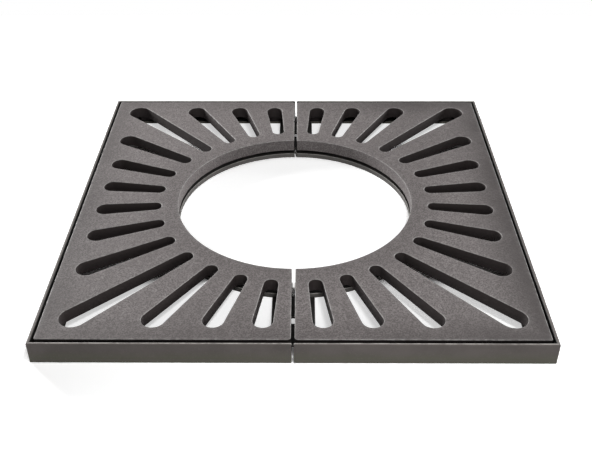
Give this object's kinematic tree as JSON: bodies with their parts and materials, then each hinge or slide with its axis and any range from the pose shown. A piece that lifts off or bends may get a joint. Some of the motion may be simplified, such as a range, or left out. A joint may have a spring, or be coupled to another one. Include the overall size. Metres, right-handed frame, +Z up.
{
  "type": "cast iron tree grate",
  "caption": "Square slotted cast iron grate in two halves around a round tree opening, lying flush in a split steel angle frame with an inner ring.",
  "frame": {"origin": "on the ground under the middle of the tree opening", "axes": "+Z up; the seam between the halves runs along Y, and the front is at -Y"},
  "size_m": [1.02, 1.02, 0.049],
  "materials": {
    "casting": "sand-cast grey iron with a fine grain, edges rubbed lighter",
    "frame": "dark coated rolled steel angle, satin, top edges rubbed bright",
    "flat_bar": "dark coated rolled flat bar, satin"
  },
  "bodies": {
    "left_frame": {"frame_side_left": "frame", "frame_front_left": "frame", "frame_rear_left": "frame", "ring_left": "flat_bar", "tie_side_left": "flat_bar", "tie_seam_front": "flat_bar", "tie_seam_rear": "flat_bar"},
    "right_frame": {"frame_side_right": "frame", "frame_front_right": "frame", "frame_rear_right": "frame", "ring_right": "flat_bar", "tie_side_right": "flat_bar"},
    "left_grate": {"grate_left": "casting"},
    "right_grate": {"grate_right": "casting"}
  },
  "joints": [
    {"name": "right_frame_part", "type": "slide", "parent": "left_frame", "child": "right_frame", "axis": [1, 0, 0], "range_m": [0, 0.42]},
    {"name": "left_grate_lift", "type": "slide", "parent": "left_frame", "child": "left_grate", "axis": [0, 0, 1], "range_m": [0, 0.12]},
    {"name": "right_grate_lift", "type": "slide", "parent": "right_frame", "child": "right_grate", "axis": [0, 0, 1], "range_m": [0, 0.12]}
  ]
}
